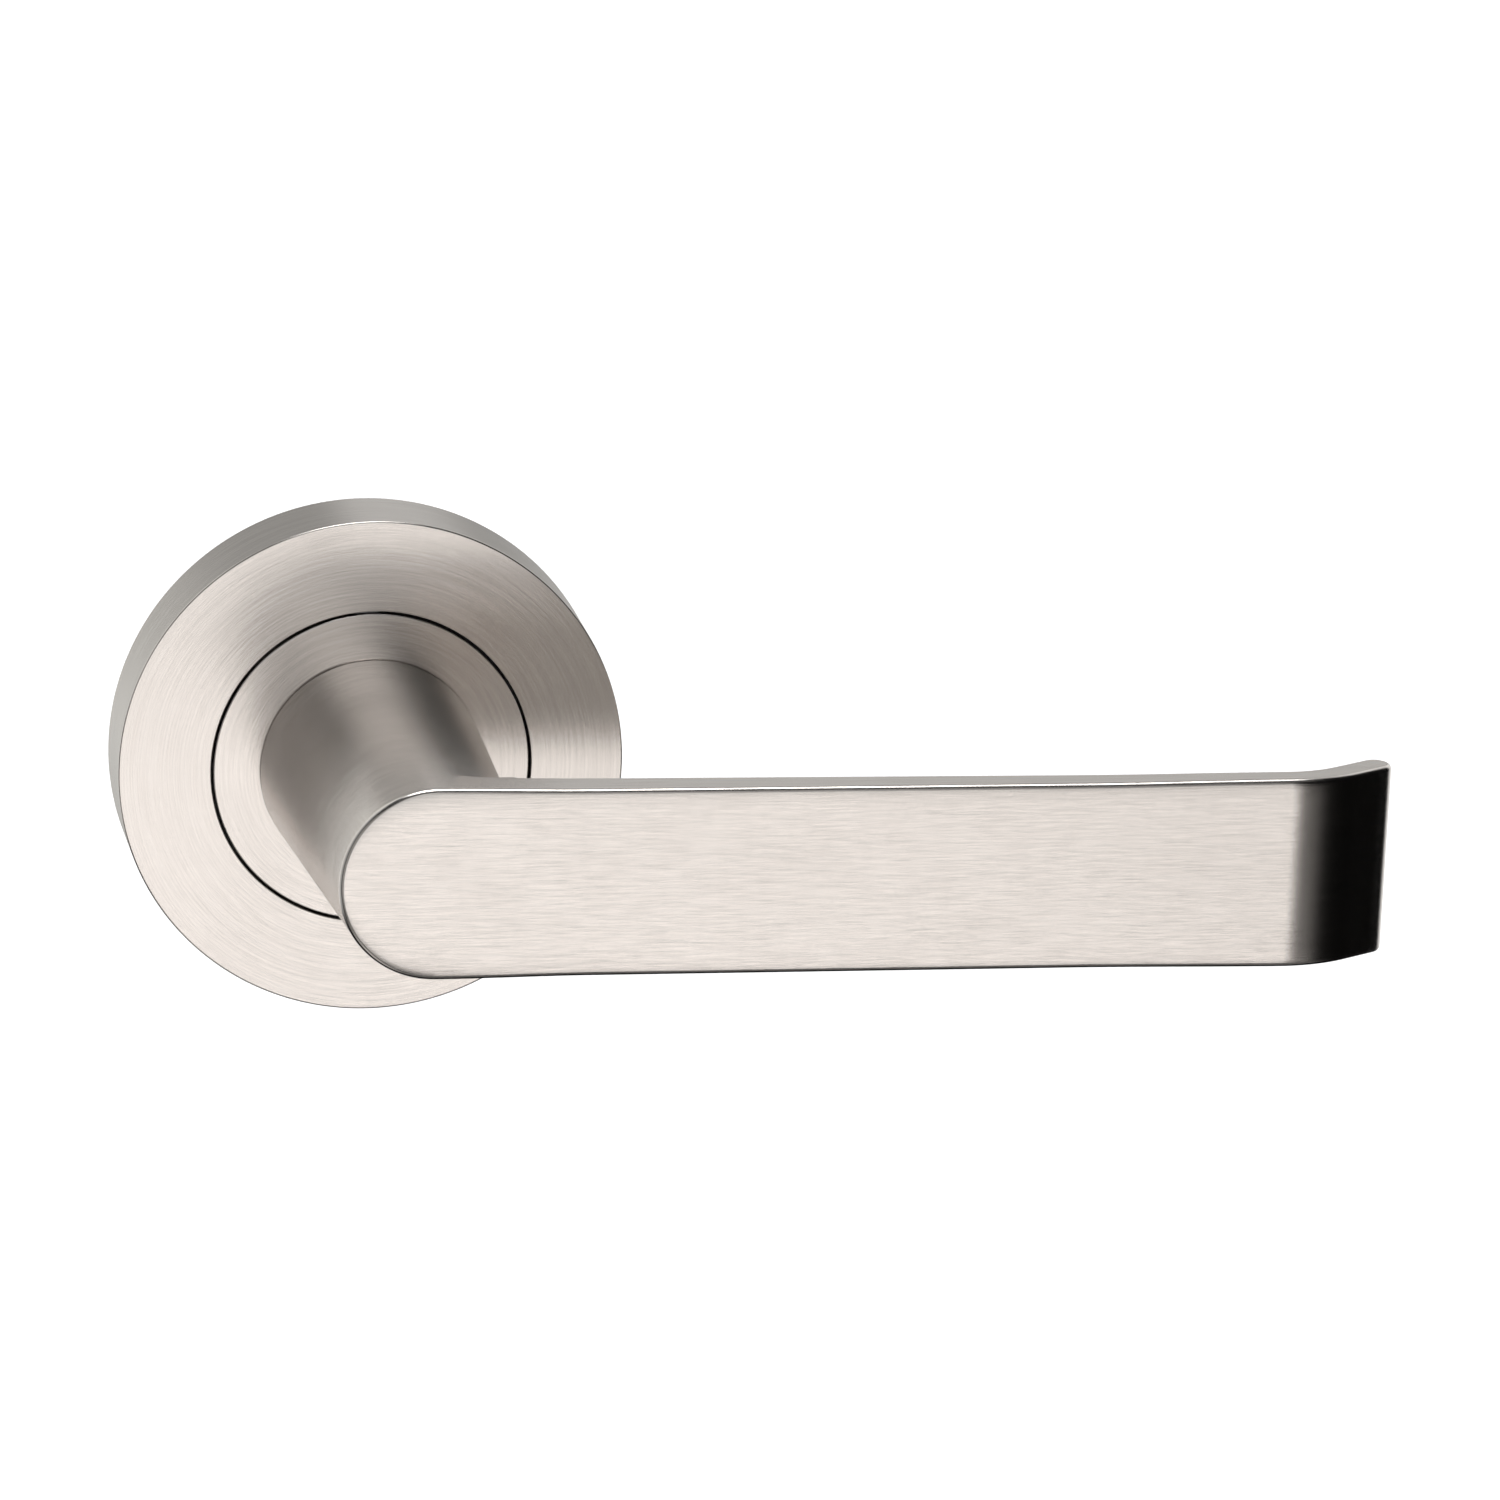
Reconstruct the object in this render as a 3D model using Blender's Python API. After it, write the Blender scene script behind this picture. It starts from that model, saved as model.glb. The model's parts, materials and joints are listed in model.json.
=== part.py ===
"""Door lever handle on a round rose: one side of a lever set, built as it comes apart on a bench.

Frame, in metres: the door's surface is the plane y = 0, the room is on the -Y side and the spindle runs
into the door along +Y. The turning axis is the Y axis, the lever points along +X and +Z is up.
"""

import math

import bmesh
import bpy
from mathutils import Matrix, Vector

MM = 0.001
GAP = 0.3 * MM                      # clearance between pieces that touch or turn in each other
ROUND_STEPS = 64                    # facets around the large turned pieces
MEDIUM_STEPS = 48                   # facets around washers, the bush and the circlip
SMALL_STEPS = 24                    # facets around posts and screws
PIN_STEPS = 16                      # facets around the stop pins

# Rose cover and collar
COVER_RADIUS = 32.0 * MM
COVER_DEPTH = 11.6 * MM
COVER_WALL = 1.2 * MM
COVER_EDGE = 0.2 * MM               # rounding of the cover's front edge
COLLAR_RADIUS = 20.0 * MM
COLLAR_GAP = 0.3 * MM               # ring gap between the collar and the cover
COLLAR_THICK = 1.2 * MM
COLLAR_PROUD = 0.1 * MM             # the collar stands this far in front of the cover
COLLAR_EDGE = 0.15 * MM

# Neck and shank of the lever
NECK_BASE_RADIUS = 14.15 * MM
NECK_LEAN = 1.2 * MM                # how far the neck's centre moves towards the tip along its length
SHANK_RADIUS = 8.9 * MM
SHANK_END_Y = 2.4 * MM
GROOVE_RADIUS = 7.9 * MM
GROOVE_START_Y = -0.3 * MM
GROOVE_WIDTH = 1.4 * MM             # for the circlip
CIRCLIP_RADIUS = 10.6 * MM
CIRCLIP_MOUTH = 6.0 * MM

# Grip
GRIP_HEIGHT = 24.1 * MM             # at the round end and at the tip
GRIP_WAIST = 0.24 * MM              # each edge draws in this much between them
WAIST_START_X = (1.2 * MM, 20.0 * MM)
WAIST_END_X = (80.0 * MM, 108.0 * MM)
GRIP_THICK = 4.0 * MM               # at the tip
GRIP_SWELL = 1.7 * MM               # thicker by this much at the turning axis, evenly tapered
GRIP_FRONT_Y = -61.45 * MM
GRIP_FILLET = 0.9 * MM
GRIP_STEPS = 12
BEND_START_X = 106.4 * MM
BEND_RADIUS = 17.0 * MM             # of the front face
BEND_ANGLE = math.radians(31)
BEND_STEPS = 6
TIP_LENGTH = 7.1 * MM               # straight piece after the bend, with its round nose

# Spindle and its grub screw
SPINDLE_SIDE = 8.0 * MM
SPINDLE_INNER_Y = -36.0 * MM
SPINDLE_OUTER_Y = 52.0 * MM
SPINDLE_EDGE = 0.5 * MM
GRUB_RADIUS = 2.5 * MM
GRUB_Y = -22.0 * MM
GRUB_LENGTH = 6.0 * MM
GRUB_HEX = 1.25 * MM                # half of the key's size across flats
GRUB_HEX_DEPTH = 2.5 * MM
GRUB_EDGE = 0.3 * MM

# Base plate
PLATE_RADIUS = 29.6 * MM
PLATE_THICK = 3.0 * MM
PLATE_BORE = 11.0 * MM
BOSS_RADIUS = 15.6 * MM
BOSS_FRONT_Y = -8.6 * MM
POCKET_RADIUS = 14.2 * MM
RECESS_RADIUS = 13.4 * MM           # back recess for the thrust washer: the plate lies flat on the door
RECESS_DEPTH = 1.2 * MM
POST_RECESS_DEPTH = 1.0 * MM

# Stack in front of the base plate, from the door outwards
DRIVER_Y = (-3.4 * MM, -4.6 * MM)
SPRING_COVER_Y = (-8.9 * MM, -9.4 * MM)
GLIDE_Y = (-9.7 * MM, -10.2 * MM)

# Spring driver, stops and travel
TRAVEL = math.radians(40.0)
LUG_HALF_ANGLE = math.radians(14.0)
LUG_ANGLE = math.radians(90.0)      # seen from the room, from +X towards +Z
LUG_RADIUS = 13.8 * MM
PIN_CIRCLE = 12.5 * MM
PIN_RADIUS = 1.0 * MM
PIN_BACK_Y = -1.9 * MM
FLAT_DEPTH = 1.2 * MM               # flat on the shank that keys the driver
KEY_HALF_WIDTH = 4.4 * MM           # of the driver's bar that lies on that flat
DRIVER_RING = 1.6 * MM

# Return spring
WIRE_RADIUS = 0.6 * MM
COIL_RADIUS = 12.0 * MM
COIL_BACK_Y = -5.5 * MM
COIL_FRONT_Y = -7.9 * MM
COIL_TURNS = 1.75
COIL_POINTS_PER_TURN = 20
LEG_SLOT_HALF = 0.9 * MM            # slot in the boss for the fixed leg

# Fasteners
POST_CENTRES = 38.0 * MM
POST_RADIUS = 4.0 * MM
POST_LENGTH = 12.0 * MM
POST_THREAD_RADIUS = 1.65 * MM
POST_SPIGOT_RADIUS = 2.2 * MM
POST_RIVET_RADIUS = 3.0 * MM
POST_RIVET_HEIGHT = 0.8 * MM
POST_EDGE = 0.4 * MM
SCREW_CIRCLE = 25.2 * MM
SCREW_HEAD_RADIUS = 3.2 * MM
SCREW_SHAFT_RADIUS = 1.6 * MM
SCREW_LENGTH = 18.0 * MM
SCREW_POINT = 4.0 * MM
SCREW_SUNK = 0.2 * MM               # the head stands this far below the plate's face
CROSS_ARM = (1.9 * MM, 0.45 * MM)   # half length and half width of the driver recess's arms
CROSS_DEPTH = 1.2 * MM
CLIP_WIDTH = 6.0 * MM
CLIP_SHEET = 0.5 * MM
CLIP_FOOT_RADIUS = 23.4 * MM        # where its foot starts on the plate
CLIP_TOP_Y = -8.0 * MM


def clear_scene():
    for old in list(bpy.data.objects):
        bpy.data.objects.remove(old, do_unlink=True)


def material(name, colour, roughness, metallic):
    found = bpy.data.materials.get(name)
    if found:
        return found
    made = bpy.data.materials.new(name)
    made.use_nodes = True
    shader = made.node_tree.nodes["Principled BSDF"]
    shader.inputs["Base Color"].default_value = (*colour, 1.0)
    shader.inputs["Roughness"].default_value = roughness
    shader.inputs["Metallic"].default_value = metallic
    return made


def satin_steel():
    return material("satin_steel", (0.72, 0.69, 0.66), 0.32, 1.0)


def bright_steel():
    return material("bright_steel", (0.62, 0.63, 0.65), 0.28, 1.0)


def zinc_casting():
    return material("zinc_casting", (0.46, 0.47, 0.48), 0.55, 1.0)


def spring_steel():
    return material("spring_steel", (0.30, 0.30, 0.32), 0.35, 1.0)


def black_steel():
    return material("black_steel", (0.05, 0.05, 0.055), 0.45, 1.0)


def nylon():
    return material("nylon", (0.86, 0.85, 0.80), 0.55, 0.0)


def zinc_plate():
    return material("zinc_plate", (0.66, 0.67, 0.68), 0.30, 1.0)


def finish(name, mesh_builder, finish_material, sharp_angle=35.0):
    """Turns a bmesh into a named object, welded, facing outwards and shaded smooth."""
    bmesh.ops.remove_doubles(mesh_builder, verts=mesh_builder.verts, dist=1e-7)
    bmesh.ops.recalc_face_normals(mesh_builder, faces=mesh_builder.faces)
    mesh = bpy.data.meshes.new(name)
    mesh_builder.to_mesh(mesh)
    mesh_builder.free()
    mesh.materials.append(finish_material)
    mesh.shade_smooth()
    mesh.set_sharp_from_angle(angle=math.radians(sharp_angle))
    made = bpy.data.objects.new(name, mesh)
    bpy.context.scene.collection.objects.link(made)
    return made


def spun(profile, steps):
    """Spins a closed (radius, y) outline about the Y axis into a ring or a solid of revolution."""
    builder = bmesh.new()
    verts = [builder.verts.new((radius, y, 0.0)) for radius, y in profile]
    edges = [builder.edges.new((verts[i], verts[(i + 1) % len(verts)])) for i in range(len(verts))]
    bmesh.ops.spin(
        builder, geom=verts + edges, cent=(0, 0, 0), axis=(0, 1, 0), dvec=(0, 0, 0),
        angle=2 * math.pi, steps=steps, use_merge=True, use_duplicate=False,
    )
    bmesh.ops.dissolve_degenerate(builder, dist=1e-7, edges=builder.edges)
    return builder


def ring_profile(inner, outer, y_back, y_front, bevel=0.0):
    """Section of a flat ring, with its two front corners chamfered."""
    return [
        (inner, y_back), (outer, y_back), (outer, y_front + bevel),
        (outer - bevel, y_front), (inner + bevel, y_front), (inner, y_front + bevel),
    ] if bevel else [(inner, y_back), (outer, y_back), (outer, y_front), (inner, y_front)]


def block(low, high):
    """A box between two corners."""
    builder = bmesh.new()
    size = Vector(high) - Vector(low)
    middle = (Vector(high) + Vector(low)) / 2
    place = Matrix.Translation(middle) @ Matrix.Diagonal((*size, 1.0))
    bmesh.ops.create_cube(builder, size=1.0, matrix=place)
    return builder


def rod(start, end, radius, steps=SMALL_STEPS):
    """A cylinder between two points."""
    start, end = Vector(start), Vector(end)
    run = end - start
    place = Matrix.Translation((start + end) / 2) @ run.to_track_quat("Z", "Y").to_matrix().to_4x4()
    builder = bmesh.new()
    bmesh.ops.create_cone(
        builder, cap_ends=True, segments=steps, radius1=radius, radius2=radius,
        depth=run.length, matrix=place,
    )
    return builder


def as_tool(made):
    """Hides a shape that only cuts or joins another."""
    made.hide_render = True
    made.display_type = "WIRE"
    return made


def combine(target, tool, operation):
    step = target.modifiers.new(tool.name, "BOOLEAN")
    step.operation = operation
    step.object = as_tool(tool)
    step.solver = "EXACT"


def cut(target, tool):
    combine(target, tool, "DIFFERENCE")


def on_circle(radius, angle, y=0.0):
    """A point at an angle seen from the room, measured from +X towards +Z."""
    return Vector((radius * math.cos(angle), y, radius * math.sin(angle)))


def turned_to(angle):
    """Turns a piece modelled at +X round to an angle, seen from the room."""
    return Matrix.Rotation(-angle, 4, "Y")


# Rose cover and collar ---------------------------------------------------------------------------

def rose_cover():
    front = -COVER_DEPTH
    edge = [
        (COVER_RADIUS - COVER_EDGE * (1 - math.cos(a)), front + COVER_EDGE * (1 - math.sin(a)))
        for a in (i * math.pi / 6 for i in range(4))
    ]
    hole = COLLAR_RADIUS + COLLAR_GAP
    profile = [(COVER_RADIUS - COVER_WALL, 0.0), (COVER_RADIUS, 0.0), *edge, (hole, front)]
    profile += [(hole, front + COVER_WALL), (COVER_RADIUS - COVER_WALL, front + COVER_WALL)]
    return finish("rose_cover", spun(profile, ROUND_STEPS), satin_steel())


def collar_disc():
    front = -COVER_DEPTH - COLLAR_PROUD
    profile = ring_profile(SHANK_RADIUS + GAP, COLLAR_RADIUS, front + COLLAR_THICK, front, COLLAR_EDGE)
    return finish("collar_disc", spun(profile, ROUND_STEPS), satin_steel())


# Lever handle ------------------------------------------------------------------------------------

def smooth_step(value, start, end):
    """0 before start, 1 after end, and an even curve between."""
    share = min(max((value - start) / (end - start), 0.0), 1.0)
    return share * share * (3 - 2 * share)


def tapered(point):
    """Draws the strip's long edges in a little and thickens its back towards the turning axis."""
    waist = smooth_step(point.x, *WAIST_START_X) * (1 - smooth_step(point.x, *WAIST_END_X))
    height = point.z * (1 - 2 * GRIP_WAIST * waist / GRIP_HEIGHT)
    swell = 0.0
    if point.y > GRIP_FRONT_Y + GRIP_THICK / 2:
        swell = GRIP_SWELL * min(1 - point.x / BEND_START_X, 1.0) if point.x < BEND_START_X else 0.0
    return Vector((point.x, point.y + swell, height))


def bent(point):
    """Wraps the flat strip beyond the bend's start round the bend, towards the door."""
    run = point.x - BEND_START_X
    if run <= 0:
        return point
    angle = min(run / BEND_RADIUS, BEND_ANGLE)
    beyond = run - angle * BEND_RADIUS
    radius = BEND_RADIUS + GRIP_FRONT_Y - point.y
    return Vector((
        BEND_START_X + radius * math.sin(angle) + beyond * math.cos(angle),
        GRIP_FRONT_Y + BEND_RADIUS - radius * math.cos(angle) + beyond * math.sin(angle),
        point.z,
    ))


def grip_strip():
    """The grip: a flat strip with a round end at the neck, rounded edges and a bent, round-nosed tip."""
    half = GRIP_HEIGHT / 2
    builder = bmesh.new()
    turns = ROUND_STEPS // 2
    outline = [
        (NECK_LEAN + half * math.cos(a), half * math.sin(a))
        for a in (math.pi / 2 + i * math.pi / turns for i in range(turns + 1))
    ]
    face = builder.faces.new([builder.verts.new((x, GRIP_FRONT_Y, z)) for x, z in outline])
    end_edge = next(e for e in face.edges if all(abs(v.co.x - NECK_LEAN) < 1e-6 for v in e.verts))
    straight_step = (BEND_START_X - NECK_LEAN) / GRIP_STEPS
    arc_step = BEND_ANGLE * BEND_RADIUS / BEND_STEPS
    for length in [straight_step] * GRIP_STEPS + [arc_step] * BEND_STEPS + [TIP_LENGTH]:
        grown = bmesh.ops.extrude_edge_only(builder, edges=[end_edge])["geom"]
        ends = {g for g in grown if isinstance(g, bmesh.types.BMVert)}
        end_edge = next(g for g in grown if isinstance(g, bmesh.types.BMEdge) and set(g.verts) == ends)
        bmesh.ops.translate(builder, verts=list(ends), vec=(length, 0, 0))
    body = bmesh.ops.extrude_face_region(builder, geom=builder.faces[:])["geom"]
    back = [g for g in body if isinstance(g, bmesh.types.BMVert)]
    bmesh.ops.translate(builder, verts=back, vec=(0, GRIP_THICK, 0))
    bmesh.ops.recalc_face_normals(builder, faces=builder.faces)
    tip_x = max(v.co.x for v in builder.verts)
    nose = [e for e in builder.edges
            if all(abs(v.co.x - tip_x) < 1e-6 for v in e.verts)
            and abs(e.verts[0].co.y - e.verts[1].co.y) < 1e-6]
    round_edges(builder, nose, GRIP_THICK / 2 - 0.05 * MM, 5)
    rim = [e for e in builder.edges if len(e.link_faces) == 2 and e.calc_face_angle() > math.radians(45)]
    round_edges(builder, rim, GRIP_FILLET, 3)
    for vert in builder.verts:
        vert.co = bent(tapered(vert.co))
    return builder


def round_edges(builder, edges, radius, segments):
    bmesh.ops.bevel(
        builder, geom=edges, offset=radius, offset_type="OFFSET", segments=segments, profile=0.5,
        affect="EDGES", material=-1, clamp_overlap=True,
    )


def neck_and_shank():
    """The tapering neck, leaning a little towards the tip, and the shank that runs through the rose."""
    base = -COVER_DEPTH - COLLAR_PROUD - GAP
    end = GRIP_FRONT_Y + GRIP_FILLET + 0.1 * MM
    end_radius = GRIP_HEIGHT / 2 - 0.02 * MM
    groove_end = GROOVE_START_Y + GROOVE_WIDTH
    profile = [
        (0.0, SHANK_END_Y), (SHANK_RADIUS - 0.4 * MM, SHANK_END_Y), (SHANK_RADIUS, SHANK_END_Y - 0.4 * MM),
        (SHANK_RADIUS, groove_end), (GROOVE_RADIUS, groove_end), (GROOVE_RADIUS, GROOVE_START_Y),
        (SHANK_RADIUS, GROOVE_START_Y), (SHANK_RADIUS, base), (NECK_BASE_RADIUS - 0.2 * MM, base),
        (NECK_BASE_RADIUS, base - 0.2 * MM), (end_radius, end), (0.0, end),
    ]
    builder = spun(profile, ROUND_STEPS)
    for vert in builder.verts:
        if vert.co.y < base:
            vert.co.x += NECK_LEAN * (vert.co.y - base) / (end - base)
    return builder


def lever_handle():
    handle = finish("lever_handle", grip_strip(), satin_steel())
    combine(handle, finish("lever_neck_shape", neck_and_shank(), satin_steel()), "UNION")
    half = SPINDLE_SIDE / 2 + GAP
    socket = block((-half, SPINDLE_INNER_Y - GAP, -half), (half, SHANK_END_Y + 2 * MM, half))
    cut(handle, finish("lever_socket_shape", socket, satin_steel()))
    hole = rod((0, GRUB_Y, 0), (0, GRUB_Y, -NECK_BASE_RADIUS - 2 * MM), GRUB_RADIUS + GAP)
    cut(handle, finish("lever_grub_hole_shape", hole, satin_steel()))
    wide, (back, front) = SHANK_RADIUS + 1 * MM, DRIVER_Y
    key_flat = block((-wide, front - 2 * GAP, SHANK_RADIUS - FLAT_DEPTH), (wide, back + 2 * GAP, wide))
    cut(handle, finish("lever_flat_shape", key_flat, satin_steel()))
    return handle


# Spindle and what holds the lever in the rose ------------------------------------------------------

def spindle():
    half = SPINDLE_SIDE / 2
    builder = block((-half, SPINDLE_INNER_Y, -half), (half, SPINDLE_OUTER_Y, half))
    round_edges(builder, builder.edges[:], SPINDLE_EDGE, 2)
    return finish("spindle", builder, zinc_plate())


def grub_screw():
    """Set screw in the underside of the neck: flat point on the spindle, hexagon socket outwards."""
    top = -SPINDLE_SIDE / 2 - GAP
    bottom = top - GRUB_LENGTH
    builder = rod((0, GRUB_Y, bottom), (0, GRUB_Y, top), GRUB_RADIUS)
    rims = [e for e in builder.edges if e.calc_face_angle() > math.radians(60)]
    round_edges(builder, rims, GRUB_EDGE, 1)
    screw = finish("grub_screw", builder, black_steel())
    key = rod((0, GRUB_Y, bottom - 1 * MM), (0, GRUB_Y, bottom + GRUB_HEX_DEPTH),
              GRUB_HEX / math.cos(math.pi / 6), steps=6)
    cut(screw, finish("grub_key_shape", key, black_steel()))
    return screw


def spring_driver():
    """Plate keyed on the shank: its lug drives the spring and meets the two stop pins."""
    inner = SHANK_RADIUS + GAP
    back, front = DRIVER_Y
    middle = inner + DRIVER_RING / 2
    profile = ring_profile(inner, inner + DRIVER_RING, back, front)
    plate = finish("spring_driver", spun(profile, ROUND_STEPS), bright_steel())
    lug = bmesh.new()
    turns = 6
    start = LUG_ANGLE - LUG_HALF_ANGLE
    arc = [on_circle(LUG_RADIUS, start + i * 2 * LUG_HALF_ANGLE / turns, back) for i in range(turns + 1)]
    foot = [on_circle(middle, LUG_ANGLE + side * LUG_HALF_ANGLE, back) for side in (1, -1)]
    face = lug.faces.new([lug.verts.new(p) for p in arc + foot])
    grown = bmesh.ops.extrude_face_region(lug, geom=[face])["geom"]
    bmesh.ops.translate(lug, verts=[g for g in grown if isinstance(g, bmesh.types.BMVert)],
                        vec=(0, front - back, 0))
    combine(plate, finish("driver_lug_shape", lug, bright_steel()), "UNION")
    flat_z = SHANK_RADIUS - FLAT_DEPTH + GAP
    key = block((-KEY_HALF_WIDTH, front, flat_z), (KEY_HALF_WIDTH, back, middle))
    combine(plate, finish("driver_key_shape", key, bright_steel()), "UNION")
    hole = rod(on_circle(COIL_RADIUS, LUG_ANGLE, back + 1 * MM),
               on_circle(COIL_RADIUS, LUG_ANGLE, front - 1 * MM), WIRE_RADIUS + GAP, steps=PIN_STEPS)
    cut(plate, finish("driver_leg_hole_shape", hole, bright_steel()))
    return plate


def circlip():
    """Open retaining ring in the shank's groove, its gap at the bottom."""
    back = GROOVE_START_Y + GROOVE_WIDTH - GAP
    front = GROOVE_START_Y + GAP
    profile = ring_profile(GROOVE_RADIUS + GAP, CIRCLIP_RADIUS, back, front)
    ring = finish("circlip", spun(profile, MEDIUM_STEPS), spring_steel())
    half = CIRCLIP_MOUTH / 2
    mouth = block((-half, front - 1 * MM, -CIRCLIP_RADIUS - 1 * MM),
                  (half, back + 1 * MM, -GROOVE_RADIUS / 2))
    cut(ring, finish("circlip_mouth_shape", mouth, spring_steel()))
    return ring


def thrust_washer():
    profile = ring_profile(SHANK_RADIUS + GAP, RECESS_RADIUS - GAP, GROOVE_START_Y, GAP - RECESS_DEPTH)
    return finish("thrust_washer", spun(profile, MEDIUM_STEPS), bright_steel())


# Base plate and what is fixed to it ---------------------------------------------------------------

def pin_angles():
    """Where the two stop pins stand: the lug rests by one and meets the other at full travel."""
    clear = LUG_HALF_ANGLE + math.asin(PIN_RADIUS / PIN_CIRCLE) + GAP / PIN_CIRCLE
    return {"stop_pin_rest": LUG_ANGLE + clear, "stop_pin_end": LUG_ANGLE - TRAVEL - clear}


def fixed_leg_angle():
    """Where the spring's fixed leg leaves the coil, after its turns from the lug."""
    return LUG_ANGLE + COIL_TURNS * 2 * math.pi


def screw_angles():
    return [math.radians(45 + 90 * i) for i in range(4)]


def clip_angles():
    return [math.radians(90 * i) for i in range(4)]


def post_places():
    return {"bolt_post_upper": POST_CENTRES / 2, "bolt_post_lower": -POST_CENTRES / 2}


def base_plate():
    front = -PLATE_THICK
    profile = [
        (PLATE_BORE, -RECESS_DEPTH), (RECESS_RADIUS, -RECESS_DEPTH), (RECESS_RADIUS, 0.0),
        (PLATE_RADIUS, 0.0), (PLATE_RADIUS, front), (BOSS_RADIUS, front),
        (BOSS_RADIUS, BOSS_FRONT_Y), (POCKET_RADIUS, BOSS_FRONT_Y), (POCKET_RADIUS, front),
        (PLATE_BORE, front),
    ]
    turned = spun(profile, ROUND_STEPS)
    turned.transform(turned_to(math.pi / ROUND_STEPS))      # no facet edge then runs through a hole's middle
    plate = finish("base_plate", turned, zinc_casting())
    for name, angle in pin_angles().items():
        hole = rod(on_circle(PIN_CIRCLE, angle, PIN_BACK_Y + GAP),
                   on_circle(PIN_CIRCLE, angle, front - 1 * MM), PIN_RADIUS + GAP, steps=PIN_STEPS)
        cut(plate, finish(f"{name}_hole_shape", hole, zinc_casting()))
    for name, z in post_places().items():
        hole = rod((0, 1 * MM, z), (0, front - 1 * MM, z), POST_SPIGOT_RADIUS + GAP)
        cut(plate, finish(f"{name}_hole_shape", hole, zinc_casting()))
        seat = rod((0, 1 * MM, z), (0, -POST_RECESS_DEPTH, z), POST_RADIUS + GAP)
        cut(plate, finish(f"{name}_seat_shape", seat, zinc_casting()))
    for number, angle in enumerate(screw_angles(), 1):
        hole = screw_shape(GAP, 1 * MM, PLATE_THICK + 1 * MM)
        hole.transform(turned_to(angle))
        cut(plate, finish(f"screw_{number}_hole_shape", hole, zinc_casting()))
    slot = block((POCKET_RADIUS - 1 * MM, BOSS_FRONT_Y - 1 * MM, -LEG_SLOT_HALF),
                 (BOSS_RADIUS + 1 * MM, COIL_FRONT_Y + LEG_SLOT_HALF, LEG_SLOT_HALF))
    slot.transform(turned_to(fixed_leg_angle()))
    cut(plate, finish("spring_slot_shape", slot, zinc_casting()))
    return plate


def bearing_bush():
    profile = ring_profile(SHANK_RADIUS + GAP, PLATE_BORE - GAP, -RECESS_DEPTH, -PLATE_THICK)
    return finish("bearing_bush", spun(profile, MEDIUM_STEPS), nylon())


def stop_pins():
    for name, angle in pin_angles().items():
        pin = rod(on_circle(PIN_CIRCLE, angle, PIN_BACK_Y), on_circle(PIN_CIRCLE, angle, DRIVER_Y[1]),
                  PIN_RADIUS, steps=PIN_STEPS)
        finish(name, pin, bright_steel())


def return_spring():
    """Torsion spring: a short coil, one leg bent back into the driver's lug, one out into the boss."""
    count = round(COIL_TURNS * COIL_POINTS_PER_TURN)
    points = [on_circle(COIL_RADIUS, LUG_ANGLE, DRIVER_Y[0] - 0.2 * MM),
              on_circle(COIL_RADIUS, LUG_ANGLE, COIL_BACK_Y + WIRE_RADIUS)]
    for i in range(1, count):
        along = i / count
        points.append(on_circle(COIL_RADIUS, LUG_ANGLE + along * COIL_TURNS * 2 * math.pi,
                                COIL_BACK_Y + along * (COIL_FRONT_Y - COIL_BACK_Y)))
    for radius in (COIL_RADIUS + WIRE_RADIUS, BOSS_RADIUS + 0.4 * MM):
        points.append(on_circle(radius, fixed_leg_angle(), COIL_FRONT_Y))
    curve = bpy.data.curves.new("return_spring", "CURVE")
    curve.dimensions = "3D"
    curve.bevel_depth = WIRE_RADIUS
    curve.bevel_resolution = 2
    curve.use_fill_caps = True
    spline = curve.splines.new("POLY")
    spline.points.add(len(points) - 1)
    for spot, place in zip(spline.points, points):
        spot.co = (*place, 1.0)
    curve.materials.append(spring_steel())
    bpy.context.scene.collection.objects.link(bpy.data.objects.new("return_spring", curve))


def spring_cover():
    back, front = SPRING_COVER_Y
    profile = ring_profile(SHANK_RADIUS + GAP, BOSS_RADIUS, back, front)
    return finish("spring_cover", spun(profile, MEDIUM_STEPS), zinc_plate())


def glide_washer():
    back, front = GLIDE_Y
    profile = ring_profile(SHANK_RADIUS + GAP, BOSS_RADIUS, back, front)
    return finish("glide_washer", spun(profile, MEDIUM_STEPS), nylon())


# Fasteners ----------------------------------------------------------------------------------------

def bolt_posts():
    """Threaded posts riveted in the plate: the through-bolts from the door's far side screw into them."""
    shoulder = GAP - POST_RECESS_DEPTH
    rivet_back = -PLATE_THICK - GAP
    rivet_front = rivet_back - POST_RIVET_HEIGHT
    for name, z in post_places().items():
        profile = [
            (POST_THREAD_RADIUS, POST_LENGTH), (POST_RADIUS - POST_EDGE, POST_LENGTH),
            (POST_RADIUS, POST_LENGTH - POST_EDGE), (POST_RADIUS, shoulder), (POST_SPIGOT_RADIUS, shoulder),
            (POST_SPIGOT_RADIUS, rivet_back), (POST_RIVET_RADIUS, rivet_back),
            (POST_RIVET_RADIUS, rivet_front), (POST_THREAD_RADIUS, rivet_front),
        ]
        post = finish(name, spun(profile, SMALL_STEPS), zinc_plate())
        post.location.z = z


def screw_shape(extra, shaft_run, head_run):
    """Countersunk shape at +X, with extra clearance and runs past both faces, that cuts a screw's hole."""
    front = -PLATE_THICK + SCREW_SUNK
    cone = SCREW_HEAD_RADIUS - SCREW_SHAFT_RADIUS
    shaft = SCREW_SHAFT_RADIUS + extra
    head = SCREW_HEAD_RADIUS + extra
    profile = [
        (0.0, shaft_run), (shaft, shaft_run), (shaft, front + cone),
        (head, front), (head, -head_run), (0.0, -head_run),
    ]
    builder = spun(profile, SMALL_STEPS)
    bmesh.ops.translate(builder, verts=builder.verts, vec=(SCREW_CIRCLE, 0, 0))
    return builder


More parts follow.
